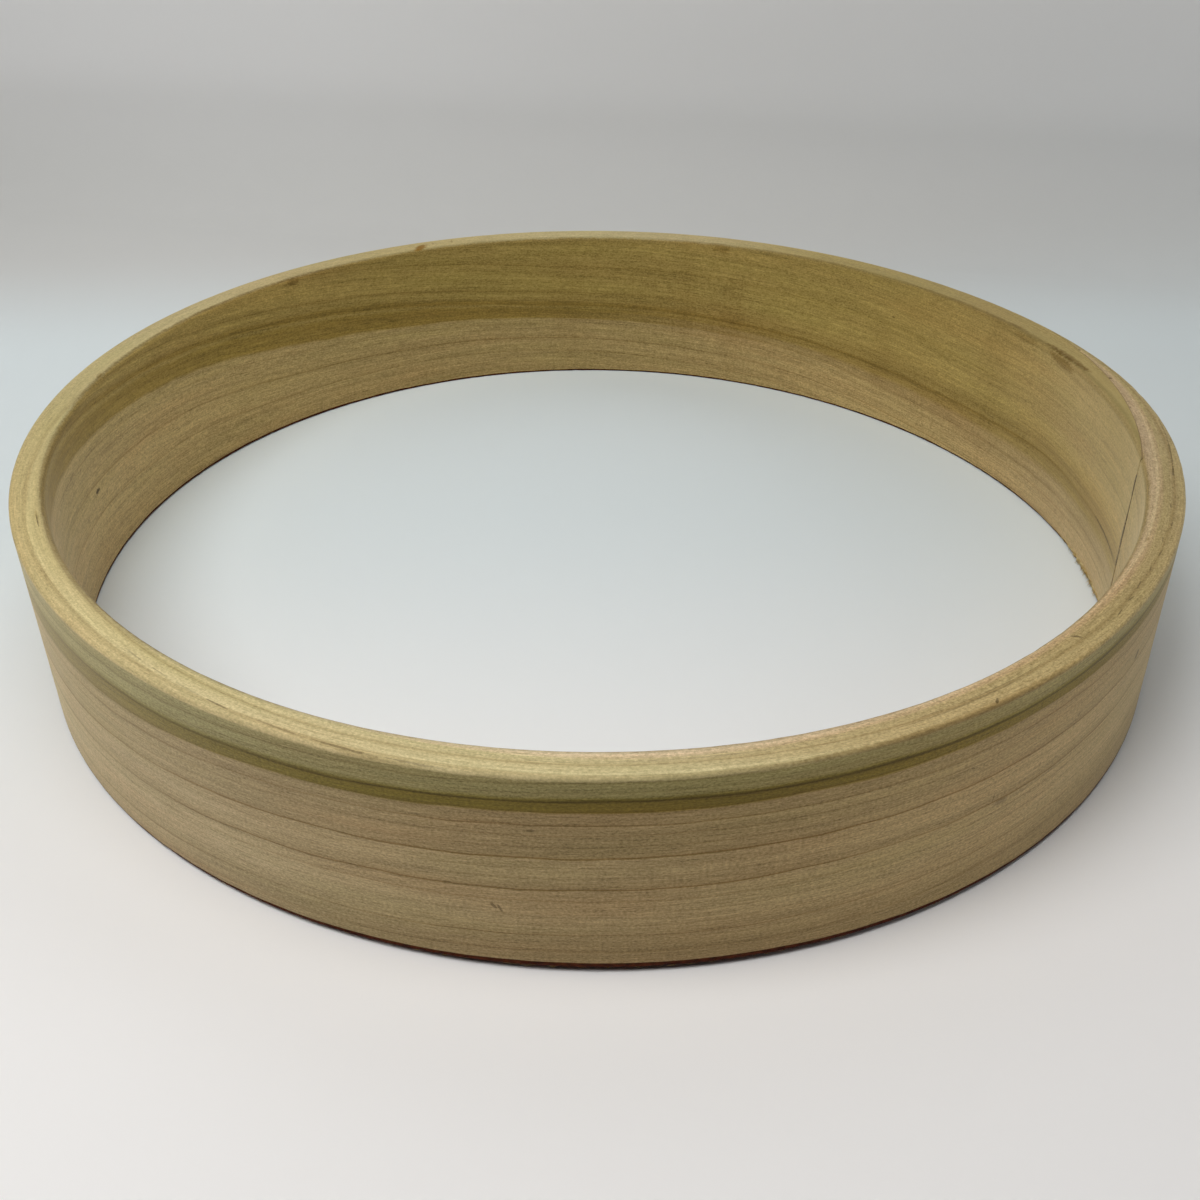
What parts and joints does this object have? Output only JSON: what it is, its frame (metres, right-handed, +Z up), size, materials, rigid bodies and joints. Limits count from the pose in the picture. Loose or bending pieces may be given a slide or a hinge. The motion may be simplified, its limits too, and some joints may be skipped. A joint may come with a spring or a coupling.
{
  "type": "drum hoop",
  "caption": "Bentwood hand drum hoop: an upright board bent into a ring, its tapered ends lapped and glued in a long scarf joint, with rounded top and square bottom edges.",
  "frame": {"origin": "middle of the hoop's outline seen from above, at the level of the bottom edge that it stands on", "axes": "+Z up through the ring, towards the rounded edge; +X towards the scarf joint; +Y away from the picture's camera"},
  "size_m": [0.3844, 0.3818, 0.065],
  "materials": {
    "poplar_board": "raw, bent and lightly sanded, bare of varnish",
    "dried_glue": "dried wood glue, amber brown, slightly shiny"
  },
  "bodies": {
    "root": {"bent_board": "poplar_board", "scarf_glue_line": "dried_glue"}
  },
  "joints": []
}
